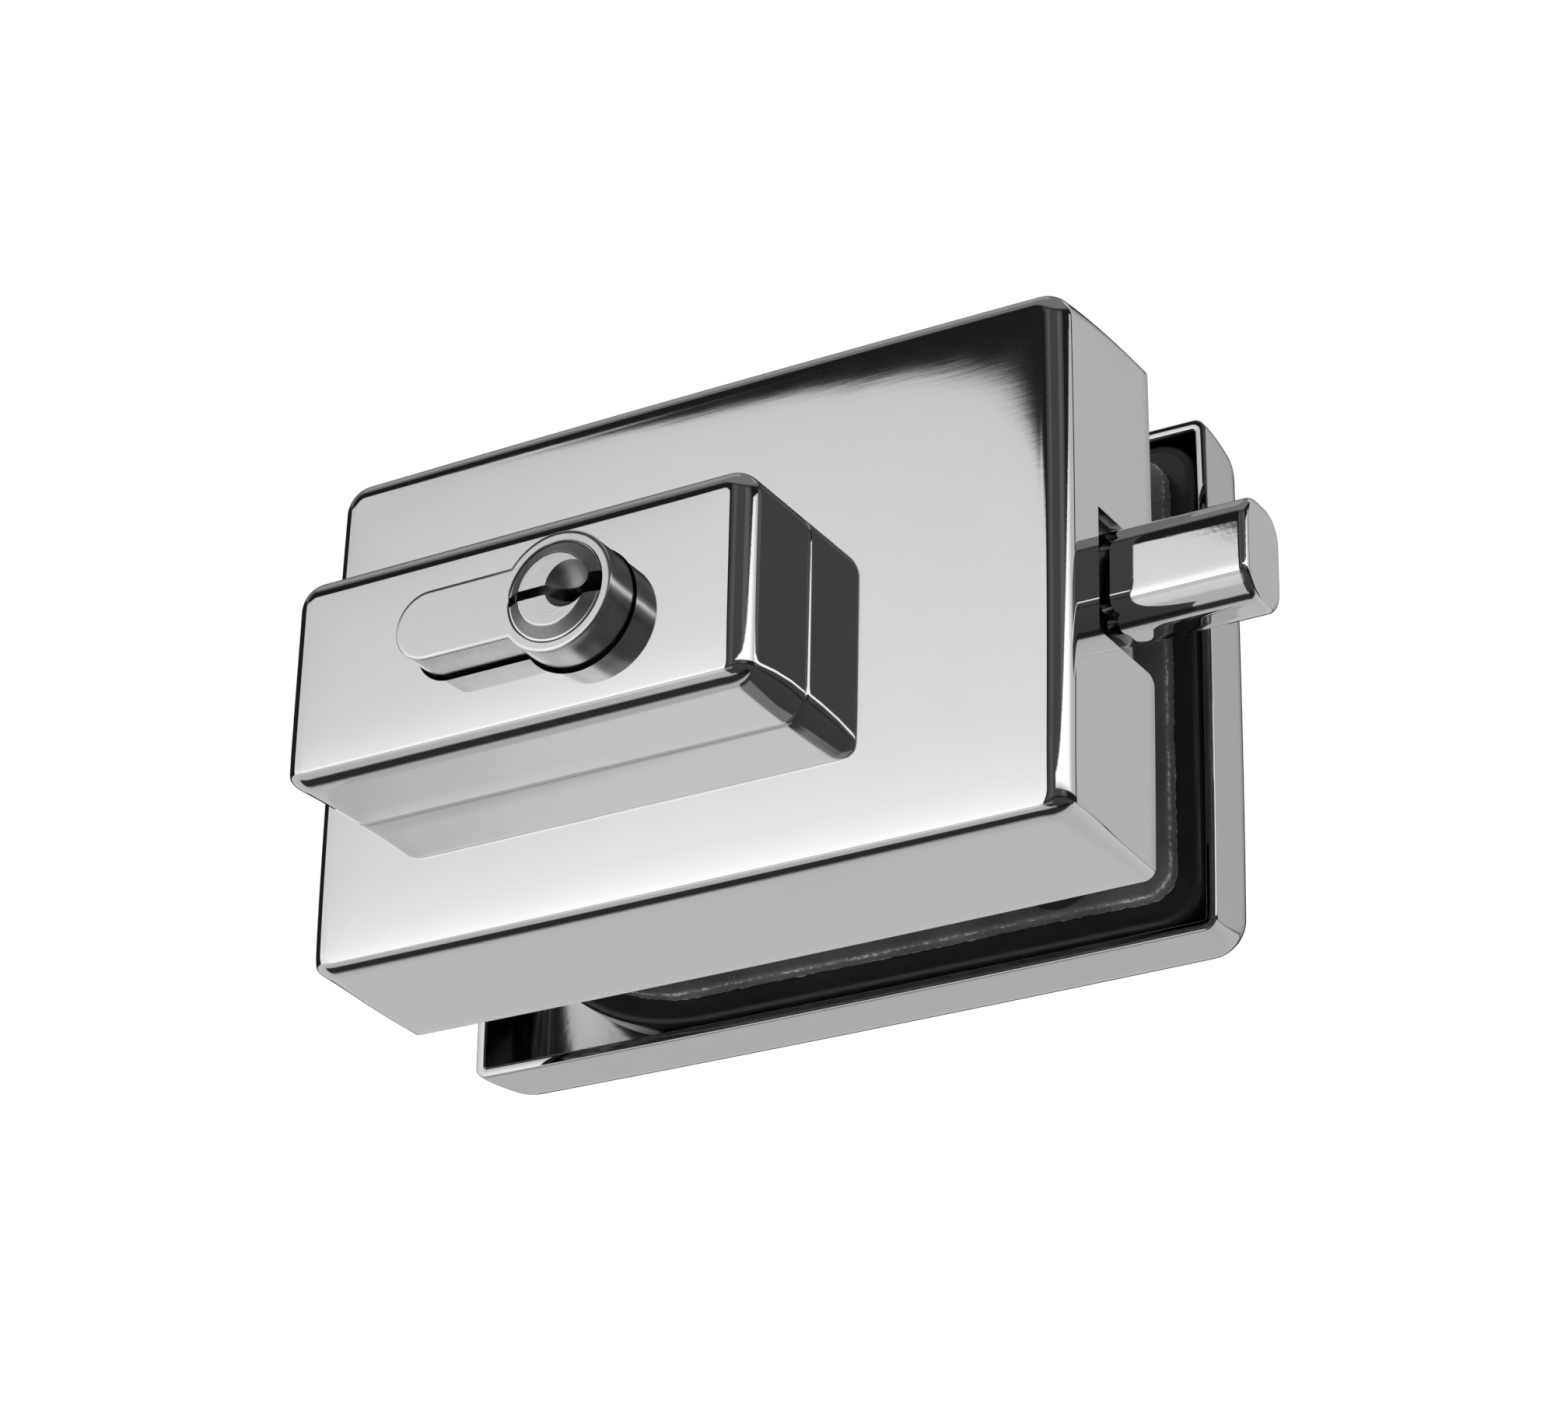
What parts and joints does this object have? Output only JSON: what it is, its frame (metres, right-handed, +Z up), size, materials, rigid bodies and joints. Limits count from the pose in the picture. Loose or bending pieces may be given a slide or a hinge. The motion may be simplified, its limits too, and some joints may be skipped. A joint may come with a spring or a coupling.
{
  "type": "glass door bottom lock",
  "caption": "Polished lock clamped on a glass door: front case with a raised block round the key cylinder, a sliding bolt out of its end, gaskets, clamp plate and rear cover.",
  "frame": {"origin": "where the key's axis meets the front face of the glass, in the plane of the front gasket's glass side", "axes": "+X the way the bolt is thrown, +Y from the room side through the pane, +Z up as in the picture"},
  "size_m": [0.1331, 0.0745, 0.0751],
  "materials": {
    "polished_chrome": "mirror-polished",
    "plain_steel": "plain zinc-plated steel",
    "dark_steel": "blackened steel",
    "spring_steel": "bright spring steel",
    "sintered_steel": "matt sintered steel",
    "satin_nickel": "satin, turned and brushed",
    "cast_body": "matt casting",
    "black_coating": "satin black coating",
    "gasket_fibre": "matt sheet with a fibrous cut edge",
    "bush_plastic": "black moulding",
    "pin_brass": "turned brass"
  },
  "bodies": {
    "lock": {"front_cover": "polished_chrome", "cover_studs": "plain_steel", "cylinder_boss": "polished_chrome", "boss_screws": "plain_steel", "lock_body": "cast_body", "guide_pin": "plain_steel", "bolt_spring": "spring_steel", "back_plate": "plain_steel", "case_screws": "plain_steel", "front_gasket": "gasket_fibre", "glass_bushes": "bush_plastic", "rear_gasket": "gasket_fibre", "clamp_plate": "black_coating", "clamp_screws": "dark_steel", "cover_clips": "spring_steel", "rear_cover": "polished_chrome", "cylinder_body": "satin_nickel", "cylinder_screw": "plain_steel", "driver_pins": "pin_brass", "pin_springs": "spring_steel", "chamber_plugs": "pin_brass"},
    "bolt": {"bolt_head": "polished_chrome", "bolt_tail": "plain_steel", "tail_rivets": "plain_steel"},
    "plug": {"key_plug": "satin_nickel", "key_pins": "pin_brass", "cam": "sintered_steel", "plug_clip": "spring_steel"}
  },
  "joints": [
    {"name": "bolt_slide", "type": "slide", "parent": "lock", "child": "bolt", "axis": [-1, 0, 0], "range_m": [0, 0.02]},
    {"name": "plug_turn", "type": "hinge", "parent": "lock", "child": "plug", "pos_m": [0, -0.0169, 0], "axis": [0, -1, 0], "range_deg": [0, 83.63]}
  ],
  "couplings": [
    {"joint": "plug_turn", "follows": "bolt_slide", "rad_per_m": 72.973}
  ]
}
